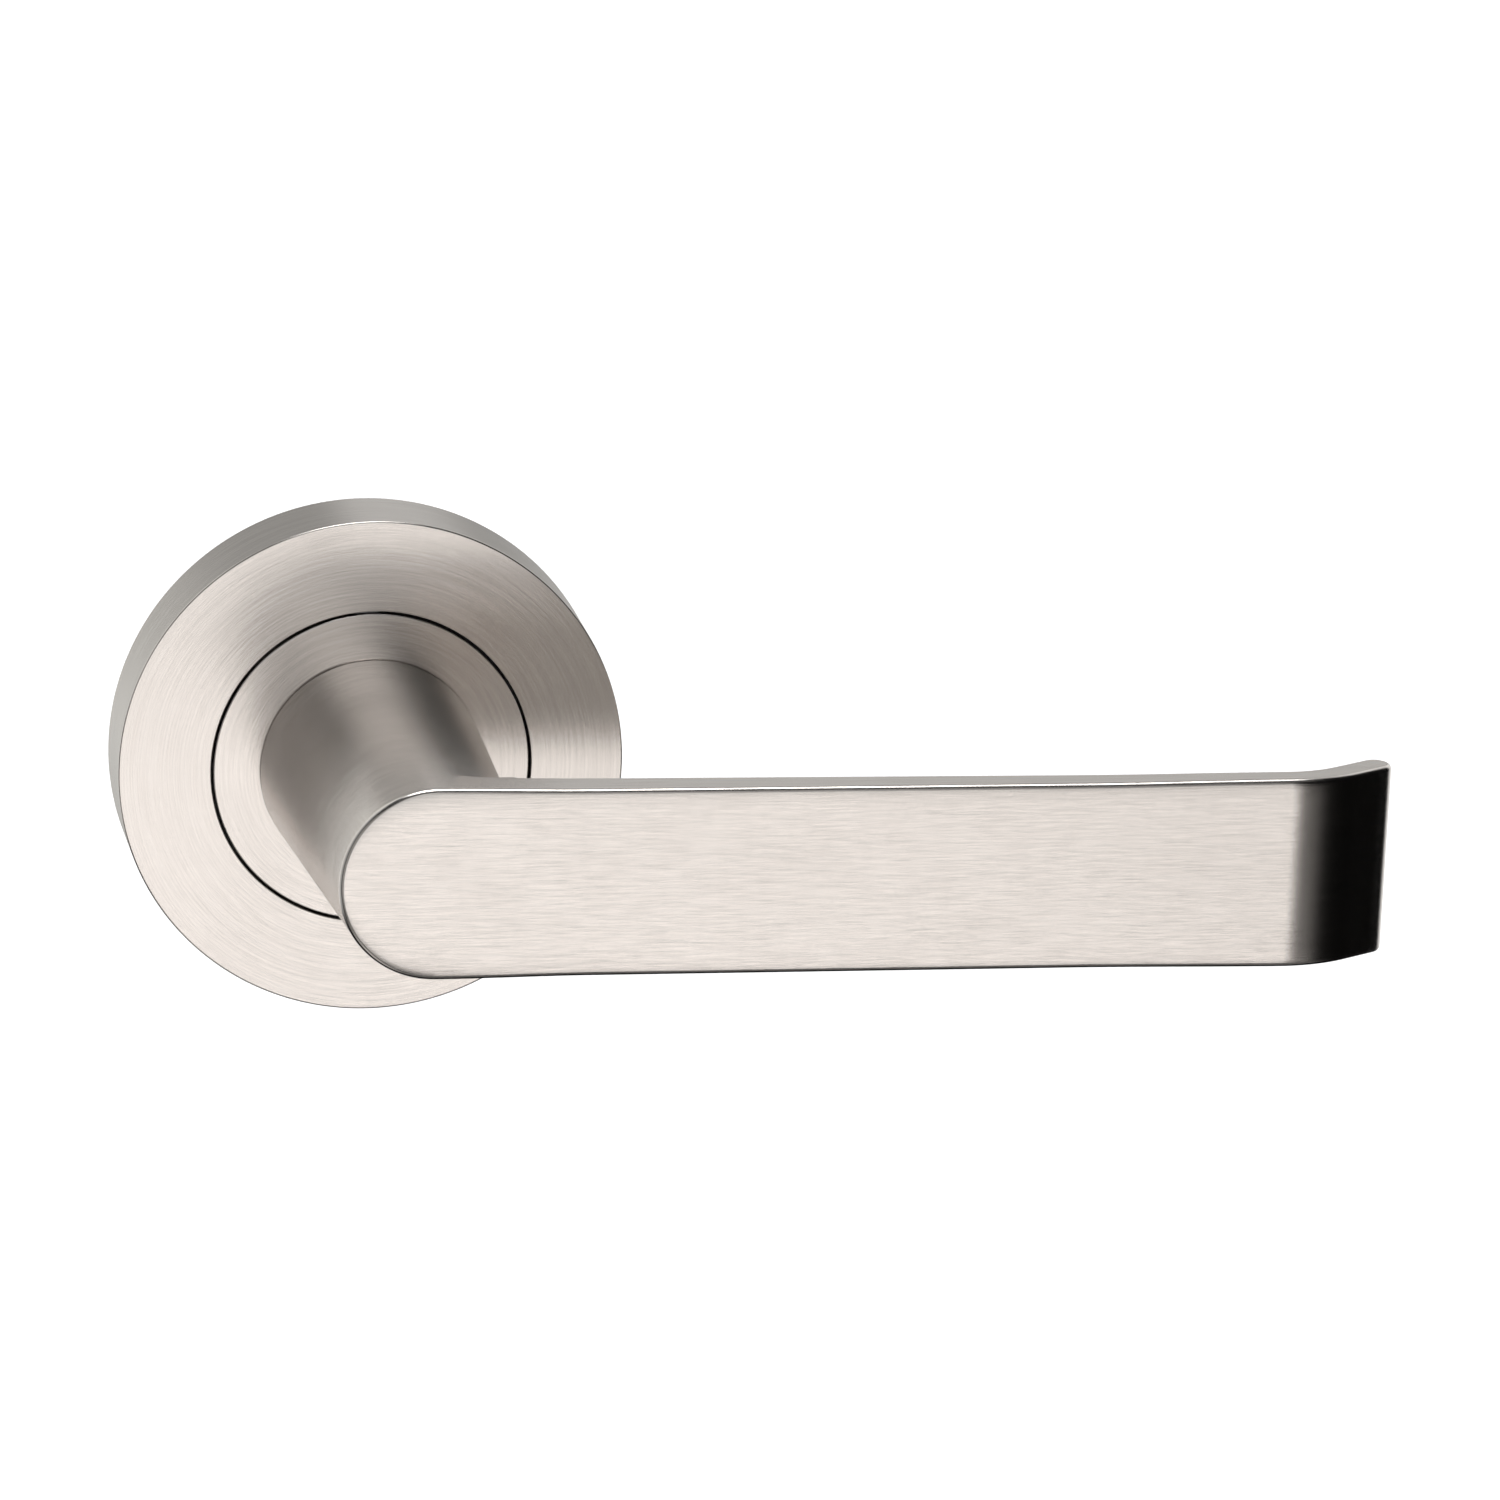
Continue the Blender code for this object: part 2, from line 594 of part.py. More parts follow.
def wood_screws():
    front = -PLATE_THICK + SCREW_SUNK
    cone = SCREW_HEAD_RADIUS - SCREW_SHAFT_RADIUS
    point = SCREW_LENGTH - PLATE_THICK
    profile = [
        (0.0, point), (SCREW_SHAFT_RADIUS, point - SCREW_POINT), (SCREW_SHAFT_RADIUS, front + cone),
        (SCREW_HEAD_RADIUS, front), (0.0, front),
    ]
    for number, angle in enumerate(screw_angles(), 1):
        builder = spun(profile, SMALL_STEPS)
        bmesh.ops.translate(builder, verts=builder.verts, vec=(SCREW_CIRCLE, 0, 0))
        builder.transform(turned_to(angle))
        screw = finish(f"wood_screw_{number}", builder, zinc_plate())
        for arm, (x, z) in enumerate((CROSS_ARM, CROSS_ARM[::-1])):
            cross = block((SCREW_CIRCLE - x, front - 1 * MM, -z), (SCREW_CIRCLE + x, front + CROSS_DEPTH, z))
            cross.transform(turned_to(angle))
            cut(screw, finish(f"wood_screw_{number}_cross_{arm}_shape", cross, zinc_plate()))


def cover_clips():
    """Spring-steel angles on the plate's edge that grip the inside of the pushed-on cover."""
    foot_y = -PLATE_THICK - GAP
    tab_outer = COVER_RADIUS - COVER_WALL - GAP
    outline = [
        (CLIP_FOOT_RADIUS, foot_y), (tab_outer, foot_y), (tab_outer, CLIP_TOP_Y),
        (tab_outer - CLIP_SHEET, CLIP_TOP_Y), (tab_outer - CLIP_SHEET, foot_y - CLIP_SHEET),
        (CLIP_FOOT_RADIUS, foot_y - CLIP_SHEET),
    ]
    for number, angle in enumerate(clip_angles(), 1):
        builder = bmesh.new()
        face = builder.faces.new([builder.verts.new((x, y, -CLIP_WIDTH / 2)) for x, y in outline])
        grown = bmesh.ops.extrude_face_region(builder, geom=[face])["geom"]
        bmesh.ops.translate(builder, verts=[g for g in grown if isinstance(g, bmesh.types.BMVert)],
                            vec=(0, 0, CLIP_WIDTH))
        builder.transform(turned_to(angle))
        finish(f"cover_clip_{number}", builder, spring_steel())


def pivot_lever(pieces):
    """Hangs the turning pieces on an empty that stands on the turning axis."""
    pivot = bpy.data.objects.new("lever_pivot", None)
    bpy.context.scene.collection.objects.link(pivot)
    for piece in pieces:
        piece.parent = pivot


clear_scene()
rose_cover()
base_plate()
bearing_bush()
stop_pins()
return_spring()
spring_cover()
glide_washer()
bolt_posts()
wood_screws()
cover_clips()
pivot_lever([
    lever_handle(), collar_disc(), spring_driver(), spindle(), grub_screw(), circlip(), thrust_washer(),
])
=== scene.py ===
import json
import math

import bmesh
import bpy
from mathutils import Matrix, Vector


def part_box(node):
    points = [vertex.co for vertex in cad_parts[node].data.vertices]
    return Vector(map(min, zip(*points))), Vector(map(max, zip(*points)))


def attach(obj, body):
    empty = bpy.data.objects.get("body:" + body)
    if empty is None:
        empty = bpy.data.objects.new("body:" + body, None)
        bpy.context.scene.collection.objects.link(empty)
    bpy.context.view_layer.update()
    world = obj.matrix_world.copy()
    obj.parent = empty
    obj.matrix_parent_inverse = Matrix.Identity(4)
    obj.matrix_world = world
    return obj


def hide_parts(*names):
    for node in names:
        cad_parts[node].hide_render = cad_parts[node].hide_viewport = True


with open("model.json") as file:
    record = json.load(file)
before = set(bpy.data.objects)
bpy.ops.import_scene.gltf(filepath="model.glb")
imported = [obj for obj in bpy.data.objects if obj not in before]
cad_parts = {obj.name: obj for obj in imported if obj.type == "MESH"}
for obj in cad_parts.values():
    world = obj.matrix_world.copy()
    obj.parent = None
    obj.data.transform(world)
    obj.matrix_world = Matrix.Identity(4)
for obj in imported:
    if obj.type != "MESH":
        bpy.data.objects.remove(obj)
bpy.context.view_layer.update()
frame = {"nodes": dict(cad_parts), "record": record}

mm = 0.001

# where things are, read from the frame
coverLow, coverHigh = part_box("rose_cover")
collarLow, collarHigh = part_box("collar_disc")
leverLow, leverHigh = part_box("lever_handle")
gap = 0.3 * mm      # between pieces that touch or turn in each other


# shader maths: a socket that can be written in an expression
class Wire:
    def __init__(self, paint, socket):
        self.paint = paint
        self.socket = socket

    def maths(self, operation, *others):
        return self.paint.node("ShaderNodeMath", {"operation": operation}, [self, *others])

    def __add__(self, other):
        return self.maths("ADD", other)

    def __sub__(self, other):
        return self.maths("SUBTRACT", other)

    def __rsub__(self, other):
        return self.maths("MULTIPLY_ADD", -1.0, other)

    def __mul__(self, other):
        return self.maths("MULTIPLY", other)

    def __truediv__(self, other):
        return self.maths("DIVIDE", other)

    __radd__ = __add__
    __rmul__ = __mul__

    def rise(self, start, end):      # 0 below start, 1 above end, smooth between
        return self.paint.node(
            "ShaderNodeMapRange", {"interpolation_type": "SMOOTHSTEP"},
            {"Value": self, "From Min": start, "From Max": end, "To Min": 0.0, "To Max": 1.0},
        )


class Paint:
    def __init__(self, tree):
        self.tree = tree
        self.tree.nodes.clear()

    # any node: its type, its settings, then the values or wires of its sockets
    def node(self, kind, settings=None, inputs=None, output=0):
        made = self.tree.nodes.new(kind)
        for key, value in (settings or {}).items():
            if key == "stops":
                self.setStops(made.color_ramp, value)
            else:
                setattr(made, key, value)
        pairs = inputs.items() if isinstance(inputs, dict) else enumerate(inputs or [])
        for key, value in pairs:
            socket = made.inputs[key]
            if isinstance(value, Wire):
                self.tree.links.new(value.socket, socket)
            else:
                socket.default_value = value
        return Wire(self, made.outputs[output]) if made.outputs else None

    def setStops(self, ramp, stops):
        while len(ramp.elements) > 1:
            ramp.elements.remove(ramp.elements[-1])
        ramp.elements[0].position = stops[0][0]
        ramp.elements[0].color = (*stops[0][1], 1.0)
        for place, colour in stops[1:]:
            ramp.elements.new(place).color = (*colour, 1.0)

    def vector(self, x, y, z):
        return self.node("ShaderNodeCombineXYZ", None, [x, y, z])

    def parts(self, wire):
        split = self.node("ShaderNodeSeparateXYZ", None, [wire])
        return [Wire(self, split.socket.node.outputs[i]) for i in range(3)]

    def noise(self, where, scale, detail=2.0, rough=0.5):
        return self.node("ShaderNodeTexNoise", None,
                         {"Vector": where, "Scale": scale, "Detail": detail, "Roughness": rough})

    def ramp(self, value, stops):
        return self.node("ShaderNodeValToRGB", {"stops": stops}, [value])

    def mixValue(self, share, a, b):
        return self.node("ShaderNodeMix", {"data_type": "FLOAT"}, {0: share, 2: a, 3: b})

    def mixColour(self, share, a, b):
        wire = self.node("ShaderNodeMix", {"data_type": "RGBA"}, {0: share, 6: a, 7: b})
        return Wire(self, wire.socket.node.outputs[2])


def newMaterial(name):
    made = bpy.data.materials.new(name)
    made.use_nodes = True
    return made, Paint(made.node_tree)


def closeMaterial(paint, inputs):
    surface = paint.node("ShaderNodeBsdfPrincipled", None, inputs)
    paint.node("ShaderNodeOutputMaterial", None, {"Surface": surface})


def colour(r, g, b):
    return (r, g, b, 1.0)


# satin stainless: grooves too fine to see spread the gloss across themselves, hairlines show on top
satin = {
    "tint": (0.800, 0.757, 0.723), "deep": (0.705, 0.662, 0.629),
    "rough": 0.20, "roughSwing": 0.05,
    "grooveWidth": 0.05 * mm, "grooveLength": 5.0 * mm, "grooveDepth": 0.005 * mm,
    "hairWidth": 0.175 * mm, "hairLength": 7.0 * mm, "hairStart": 0.5, "cloudSize": 9.0 * mm,
    "hairShare": 0.75, "toneRange": (0.28, 0.72),
    "neckFrontY": leverLow.y + 4.5 * mm, "grainChange": 1.0 * mm,
}


# a grain's coordinates in metres: across it, along it, and a third one that tells its sides apart
grainPlace = {"topSlope": (0.70, 0.74), "topShift": 40 * mm, "turnRadius": 16 * mm}


def grainAlong(paint, x, y, z, normalZ):
    flatTop = normalZ.maths("ABSOLUTE").rise(*grainPlace["topSlope"])
    return paint.mixValue(flatTop, z, y), x, flatTop * grainPlace["topShift"]


def grainAround(x, y, z):
    radius = (x * x + z * z).maths("SQRT")
    bearing = x.maths("ARCTAN2", z)
    reach = grainPlace["turnRadius"]
    return radius + y, bearing.maths("COSINE") * reach, bearing.maths("SINE") * reach


def brushed(paint, across, along, side, width, length):
    return paint.noise(paint.vector(across / width, along / length, side / length), 1.0, 1.0, 0.5)


def satinSteel(name, followsGrip):
    made, paint = newMaterial(name)
    spot = paint.node("ShaderNodeTexCoord", None, None, "Object")
    x, y, z = paint.parts(spot)
    across, along, side = grainAround(x, y, z)
    if followsGrip:
        facing = paint.node("ShaderNodeNewGeometry", None, None, "Normal")
        acrossGrip, alongGrip, sideGrip = grainAlong(paint, x, y, z, paint.parts(facing)[2])
        onNeck = y.rise(satin["neckFrontY"], satin["neckFrontY"] + satin["grainChange"])
        across = paint.mixValue(onNeck, acrossGrip, across)
        along = paint.mixValue(onNeck, alongGrip, along)
        side = paint.mixValue(onNeck, sideGrip, side)
    grooves = brushed(paint, across, along, side, satin["grooveWidth"], satin["grooveLength"])
    hairs = brushed(paint, across, along + satin["hairStart"], side, satin["hairWidth"], satin["hairLength"])
    cloud = paint.noise(spot, 1 / satin["cloudSize"], 2.0)
    share = satin["hairShare"]
    tone = (hairs * share + cloud * (1 - share)).rise(*satin["toneRange"])
    bump = paint.node("ShaderNodeBump", None,
                      {"Strength": 1.0, "Distance": satin["grooveDepth"], "Height": grooves})
    closeMaterial(paint, {
        "Base Color": paint.mixColour(tone, colour(*satin["deep"]), colour(*satin["tint"])),
        "Metallic": 1.0,
        "Roughness": satin["rough"] + hairs * satin["roughSwing"],
        "Normal": bump,
    })
    return made


# turned or rolled steel: fine rings round the axis under a faint smear
turned = {
    "ringLength": 30 * mm, "ringDepth": 0.008 * mm, "smearScale": 160.0, "smearRange": (0.35, 0.65),
    "shade": 0.78, "roughSwing": 0.14,
}


def turnedSteel(name, tint, rough, ringWidth):
    made, paint = newMaterial(name)
    spot = paint.node("ShaderNodeTexCoord", None, None, "Object")
    x, y, z = paint.parts(spot)
    across, along, side = grainAround(x, y, z)
    rings = brushed(paint, across, along, side, ringWidth, turned["ringLength"])
    smear = paint.noise(spot, turned["smearScale"], 3.0)
    dark = [part * turned["shade"] for part in tint]
    bump = paint.node("ShaderNodeBump", None,
                      {"Strength": 1.0, "Distance": turned["ringDepth"], "Height": rings})
    closeMaterial(paint, {
        "Base Color": paint.mixColour(smear.rise(*turned["smearRange"]), colour(*dark), colour(*tint)),
        "Metallic": 1.0,
        "Roughness": rough + smear * turned["roughSwing"],
        "Normal": bump,
    })
    return made


# cast zinc: a grainy skin with dull clouds
casting = {
    "grainScale": 1900.0, "grainDepth": 0.05 * mm, "cloudScale": 120.0, "rough": 0.46, "roughSwing": 0.22,
    "stops": [(0.30, (0.30, 0.31, 0.32)), (0.70, (0.52, 0.53, 0.54))],
}


def castZinc():
    made, paint = newMaterial("castZinc")
    spot = paint.node("ShaderNodeTexCoord", None, None, "Object")
    grain = paint.noise(spot, casting["grainScale"], 4.0, 0.65)
    cloud = paint.noise(spot, casting["cloudScale"], 4.0, 0.6)
    bump = paint.node("ShaderNodeBump", None,
                      {"Strength": 0.6, "Distance": casting["grainDepth"], "Height": grain})
    closeMaterial(paint, {
        "Base Color": paint.ramp(cloud, casting["stops"]),
        "Metallic": 0.85,
        "Roughness": casting["rough"] + grain * casting["roughSwing"],
        "Normal": bump,
    })
    return made


# bright zinc plate: bluish to yellowish clouds, as such plating has
plating = {
    "grainScale": 2600.0, "grainDepth": 0.02 * mm, "cloudScale": 210.0, "rough": 0.24, "roughSwing": 0.16,
    "stops": [(0.30, (0.50, 0.54, 0.60)), (0.52, (0.68, 0.69, 0.70)), (0.74, (0.72, 0.70, 0.62))],
}


def platedZinc():
    made, paint = newMaterial("platedZinc")
    spot = paint.node("ShaderNodeTexCoord", None, None, "Object")
    cloud = paint.noise(spot, plating["cloudScale"], 4.0, 0.6)
    grain = paint.noise(spot, plating["grainScale"], 2.0)
    bump = paint.node("ShaderNodeBump", None,
                      {"Strength": 0.35, "Distance": plating["grainDepth"], "Height": grain})
    closeMaterial(paint, {
        "Base Color": paint.ramp(cloud, plating["stops"]),
        "Metallic": 1.0,
        "Roughness": plating["rough"] + cloud * plating["roughSwing"],
        "Normal": bump,
    })
    return made


# moulded nylon: waxy and off-white
moulding = {
    "grainScale": 3200.0, "grainDepth": 0.02 * mm, "cloudScale": 260.0, "rough": 0.42, "roughSwing": 0.15,
    "stops": [(0.3, (0.74, 0.72, 0.65)), (0.7, (0.83, 0.82, 0.77))],
}


def mouldedNylon():
    made, paint = newMaterial("mouldedNylon")
    spot = paint.node("ShaderNodeTexCoord", None, None, "Object")
    cloud = paint.noise(spot, moulding["cloudScale"], 3.0)
    grain = paint.noise(spot, moulding["grainScale"], 2.0)
    bump = paint.node("ShaderNodeBump", None,
                      {"Strength": 0.3, "Distance": moulding["grainDepth"], "Height": grain})
    closeMaterial(paint, {
        "Base Color": paint.ramp(cloud, moulding["stops"]),
        "Roughness": moulding["rough"] + cloud * moulding["roughSwing"],
        "Subsurface Weight": 0.12,
        "Normal": bump,
    })
    return made


print("materials")
looks = {
    "satin_steel": satinSteel("satinSteelAround", followsGrip=False),
    "bright_steel": turnedSteel("turnedSteel", (0.66, 0.67, 0.69), 0.18, 0.16 * mm),
    "zinc_casting": castZinc(),
    "spring_steel": turnedSteel("springSteel", (0.26, 0.26, 0.29), 0.26, 0.20 * mm),
    "black_steel": turnedSteel("blackSteel", (0.045, 0.045, 0.05), 0.34, 0.20 * mm),
    "nylon": mouldedNylon(),
    "zinc_plate": platedZinc(),
}
leverSteel = satinSteel("satinSteelLever", followsGrip=True)
slotOf = {row["node"]: row["material_slot"] for row in frame["record"]["subparts"]}
bodyOf = {node: body for body, nodes in frame["record"]["behaviour"]["bodies"].items() for node in nodes}


# a bmesh becomes a piece: welded, facing outwards, shaded, riding on its node's body
def makePiece(name, shape, node, look=None, sharp=32, weld=1e-7):
    bmesh.ops.remove_doubles(shape, verts=shape.verts, dist=weld)
    bmesh.ops.recalc_face_normals(shape, faces=shape.faces)
    mesh = bpy.data.meshes.new(name)
    shape.to_mesh(mesh)
    shape.free()
    piece = bpy.data.objects.new(name, mesh)
    bpy.context.scene.collection.objects.link(piece)
    return dress(piece, node, look, sharp)


def dress(piece, node, look=None, sharp=32):
    piece.data.materials.clear()
    piece.data.materials.append(look or looks[slotOf[node]])
    piece.data.shade_smooth()
    piece.data.set_sharp_from_angle(angle=math.radians(sharp))
    evenNormals = piece.modifiers.new("evenNormals", "WEIGHTED_NORMAL")
    evenNormals.keep_sharp = True
    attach(piece, bodyOf[node])
    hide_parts(node)
    return piece


# spins a closed outline of (radius, y, rounding) about the Y axis
def lathe(outline, steps=192, cornerSteps=5):
    shape = bmesh.new()
    corners = [(shape.verts.new((radius, y, 0.0)), rounding) for radius, y, rounding in outline]
    shape.faces.new([vert for vert, rounding in corners])
    for size in sorted({rounding for vert, rounding in corners if rounding}):
        chosen = [vert for vert, rounding in corners if rounding == size]
        bmesh.ops.bevel(shape, geom=chosen, offset=size, segments=cornerSteps, profile=0.5,
                        affect="VERTICES", material=-1)
    bmesh.ops.delete(shape, geom=shape.faces[:], context="FACES_ONLY")
    bmesh.ops.spin(shape, geom=shape.verts[:] + shape.edges[:], cent=(0, 0, 0), axis=(0, 1, 0),
                   angle=2 * math.pi, steps=steps, use_merge=True)
    bmesh.ops.dissolve_degenerate(shape, dist=1e-8, edges=shape.edges)
    return shape


def block(low, high):
    shape = bmesh.new()
    size, middle = Vector(high) - Vector(low), (Vector(high) + Vector(low)) / 2
    place = Matrix.Translation(middle) @ Matrix.Diagonal((*size, 1.0))
    bmesh.ops.create_cube(shape, size=1.0, matrix=place)
    return shape


def rod(start, end, radius, steps=48):
    start, end = Vector(start), Vector(end)
    run = end - start
    turn = run.to_track_quat("Z", "Y").to_matrix().to_4x4()
    shape = bmesh.new()
    bmesh.ops.create_cone(shape, cap_ends=True, segments=steps, radius1=radius, radius2=radius,
                          depth=run.length, matrix=Matrix.Translation((start + end) / 2) @ turn)
    return shape


def looseObject(shape):
    bmesh.ops.recalc_face_normals(shape, faces=shape.faces)
    mesh = bpy.data.meshes.new("tool")
    shape.to_mesh(mesh)
    shape.free()
    made = bpy.data.objects.new("tool", mesh)
    bpy.context.scene.collection.objects.link(made)
    return made


# joins or cuts bmesh shapes and gives back one bmesh
def carve(shape, *steps):
    base = looseObject(shape)
    tools = []
    for operation, tool in steps:
        other = looseObject(tool)
        tools.append(other)
        change = base.modifiers.new("carve", "BOOLEAN")
        change.operation = operation
        change.object = other
        change.solver = "EXACT"
    ready = base.evaluated_get(bpy.context.evaluated_depsgraph_get())
    result = bmesh.new()
    result.from_mesh(ready.to_mesh())
    ready.to_mesh_clear()
    for used in [base, *tools]:
        bpy.data.objects.remove(used, do_unlink=True)
    return result


def roundEdges(shape, edges, size, steps):
    bmesh.ops.bevel(shape, geom=edges, offset=size, offset_type="OFFSET", segments=steps, profile=0.5,
                    affect="EDGES", material=-1, clamp_overlap=True)


# rose cover: pressed cup with a rounded front edge and a crisp hole
cover = {
    "wall": 1.2 * mm, "ringGap": 0.3 * mm,
    "frontEdge": 0.22 * mm, "holeEdge": 0.14 * mm, "backEdge": 0.2 * mm, "innerEdge": 0.8 * mm,
}


def buildRoseCover():
    outer, front, wall = coverHigh.x, coverLow.y, cover["wall"]
    hole = collarHigh.x + cover["ringGap"]
    outline = [
        (outer - wall, 0.0, 0.0), (outer, 0.0, cover["backEdge"]), (outer, front, cover["frontEdge"]),
        (hole, front, cover["holeEdge"]), (hole, front + wall, 0.0),
        (outer - wall, front + wall, cover["innerEdge"]),
    ]
    makePiece("roseCover", lathe(outline, 256, 6), "rose_cover")


# collar: flush disc round the shank, turns with the lever
collar = {"edge": 0.16 * mm, "holeEdge": 0.1 * mm}


def buildCollar():
    low, high = collarLow, collarHigh
    hole = lever["shank"] + gap
    outline = [
        (hole, high.y, 0.0), (high.x, high.y, collar["holeEdge"]), (high.x, low.y, collar["edge"]),
        (hole, low.y, collar["holeEdge"]),
    ]
    makePiece("collarDisc", lathe(outline, 192, 4), "collar_disc")


# lever: neck, flat grip and bent round-nosed tip, one casting
lever = {
    "height": 24.1 * mm, "thick": 4.0 * mm, "swell": 1.7 * mm, "lean": 1.2 * mm,
    "waist": 0.24 * mm, "waistStart": (1.2 * mm, 20.0 * mm), "waistEnd": (80.0 * mm, 108.0 * mm),
    "fillet": 0.9 * mm, "filletSteps": 7, "straightSteps": 40,
    "crownWidth": 2.8 * mm, "crownDepth": 0.13 * mm, "crownFade": (-3.0 * mm, 12.0 * mm), "crownRest": 0.4,
    "crownSteps": 4, "crownStep": 0.5 * mm,
    "bendStart": 106.4 * mm, "bendRadius": 17.0 * mm, "bendAngle": 31.0, "bendSteps": 26,
    "tipLength": 7.1 * mm, "noseSteps": 12, "noseFlat": 0.02 * mm,
    "neckBase": 14.15 * mm, "neckBaseEdge": 0.22 * mm, "neckSteps": 160,
    "webRadius": 1.6 * mm, "webOut": 15.5 * mm,
    "shank": 8.9 * mm, "shankEdge": 0.4 * mm,
    "grooveRadius": 7.9 * mm, "grooveStart": -0.3 * mm, "grooveWidth": 1.4 * mm,
    "spindle": 8.0 * mm, "socketDepth": 36.3 * mm, "grubY": -22.0 * mm, "grubRadius": 2.5 * mm,
}


def smoothStep(value, start, end):
    share = min(max((value - start) / (end - start), 0.0), 1.0)
    return share * share * (3 - 2 * share)


# the long edges draw in a little and the back thickens towards the neck
def tapered(point):
    waist = smoothStep(point.x, *lever["waistStart"]) * (1 - smoothStep(point.x, *lever["waistEnd"]))
    height = point.z * (1 - 2 * lever["waist"] * waist / lever["height"])
    swell = 0.0
    if point.y > leverLow.y + lever["thick"] / 2 and point.x < lever["bendStart"]:
        swell = lever["swell"] * min(1 - point.x / lever["bendStart"], 1.0)
    return Vector((point.x, point.y + swell, height))


# the strip past the bend's start wraps round it, towards the door
def bent(point):
    run = point.x - lever["bendStart"]
    if run <= 0:
        return point
    angle = min(run / lever["bendRadius"], math.radians(lever["bendAngle"]))
    beyond = run - angle * lever["bendRadius"]
    radius = lever["bendRadius"] + leverLow.y - point.y
    return Vector((
        lever["bendStart"] + radius * math.sin(angle) + beyond * math.cos(angle),
        leverLow.y + lever["bendRadius"] - radius * math.cos(angle) + beyond * math.sin(angle),
        point.z,
    ))


# the front face rolls off softly before its edge, most of all round the end
def crowned(point):
    if point.y > leverLow.y + lever["thick"] / 2:
        return point
    inside = lever["height"] / 2 - math.hypot(min(point.x - lever["lean"], 0.0), point.z)
    roll = 1 - min(max(inside / lever["crownWidth"], 0.0), 1.0)
    share = 1 - (1 - lever["crownRest"]) * smoothStep(point.x, *lever["crownFade"])
    return point + Vector((0, lever["crownDepth"] * share * roll * roll, 0))


def gripShape():
    half = lever["height"] / 2
    shape = bmesh.new()
    turns = lever["neckSteps"] // 2
    angles = [math.pi / 2 + i * math.pi / turns for i in range(turns + 1)]
    places = [(lever["lean"] + half * math.cos(a), leverLow.y, half * math.sin(a)) for a in angles]
    face = shape.faces.new([shape.verts.new(place) for place in places])
    edge = next(e for e in face.edges if all(abs(v.co.x - lever["lean"]) < 1e-6 for v in e.verts))
    straight = (lever["bendStart"] - lever["lean"]) / lever["straightSteps"]
    arc = math.radians(lever["bendAngle"]) * lever["bendRadius"] / lever["bendSteps"]
    for length in [straight] * lever["straightSteps"] + [arc] * lever["bendSteps"] + [lever["tipLength"]]:
        grown = bmesh.ops.extrude_edge_only(shape, edges=[edge])["geom"]
        ends = {g for g in grown if isinstance(g, bmesh.types.BMVert)}
        edge = next(g for g in grown if isinstance(g, bmesh.types.BMEdge) and set(g.verts) == ends)
        bmesh.ops.translate(shape, verts=list(ends), vec=(length, 0, 0))
    grown = bmesh.ops.extrude_face_region(shape, geom=shape.faces[:])["geom"]
    back = [g for g in grown if isinstance(g, bmesh.types.BMVert)]
    bmesh.ops.translate(shape, verts=back, vec=(0, lever["thick"], 0))
    bmesh.ops.recalc_face_normals(shape, faces=shape.faces)
    tip = max(v.co.x for v in shape.verts)
    nose = [e for e in shape.edges if all(abs(v.co.x - tip) < 1e-6 for v in e.verts)
            and abs(e.verts[0].co.y - e.verts[1].co.y) < 1e-6]
    roundEdges(shape, nose, lever["thick"] / 2 - lever["noseFlat"], lever["noseSteps"])
    edges = [e for e in shape.edges if len(e.link_faces) == 2 and e.calc_face_angle() > math.radians(45)]
    roundEdges(shape, edges, lever["fillet"], lever["filletSteps"])
    shape.normal_update()
    front = [f for f in shape.faces if f.normal.y < -0.999]
    for ring in range(lever["crownSteps"]):
        bmesh.ops.inset_region(shape, faces=front, thickness=lever["crownStep"], use_boundary=True,
                               use_even_offset=True)
    for vert in shape.verts:
        vert.co = bent(tapered(crowned(vert.co)))
    return shape


# the neck's cone: where it starts and ends, and its radius and lean at any y
neckBaseY = collarLow.y - gap
neckEndY = leverLow.y + lever["fillet"] + 0.1 * mm
neckEndRadius = lever["height"] / 2 - 0.02 * mm


def neckRadius(y):
    share = (y - neckBaseY) / (neckEndY - neckBaseY)
    return lever["neckBase"] + (neckEndRadius - lever["neckBase"]) * share


def leaned(shape):
    for vert in shape.verts:
        if vert.co.y < neckBaseY:
            vert.co.x += lever["lean"] * (vert.co.y - neckBaseY) / (neckEndY - neckBaseY)
    return shape


# hollow fillet where the neck meets the grip's back
def webShape():
    back = leverLow.y + lever["thick"] + lever["swell"] * (1 - lever["webOut"] / lever["bendStart"])
    start, core = back + 3 * mm, neckEndRadius - 1.5 * mm
    outline = [
        (core, back - 1 * mm, 0.0), (core, start, 0.0), (neckRadius(start) - 0.01 * mm, start, 0.0),
        (neckRadius(back) - 0.01 * mm, back, lever["webRadius"]), (lever["webOut"], back, 0.0),
        (lever["webOut"], back - 1 * mm, 0.0),
    ]
    half = lever["height"] / 2 - 0.15 * mm
    window = block((0, back - 2 * mm, -half), (lever["webOut"] * 2, start + 1 * mm, half))
    return carve(leaned(lathe(outline, lever["neckSteps"], 8)), ("INTERSECT", window))


def neckShape():
    base, end, endRadius = neckBaseY, neckEndY, neckEndRadius
    shank, groove = lever["shank"], lever["grooveRadius"]
    grooveEnd = lever["grooveStart"] + lever["grooveWidth"]
    outline = [
        (0.0, leverHigh.y, 0.0), (shank, leverHigh.y, lever["shankEdge"]),
        (shank, grooveEnd, 0.0), (groove, grooveEnd, 0.0),
        (groove, lever["grooveStart"], 0.0), (shank, lever["grooveStart"], 0.0), (shank, base, 0.0),
        (lever["neckBase"], base, lever["neckBaseEdge"]), (endRadius, end, 0.0), (0.0, end, 0.0),
    ]
    return leaned(lathe(outline, lever["neckSteps"], 4))


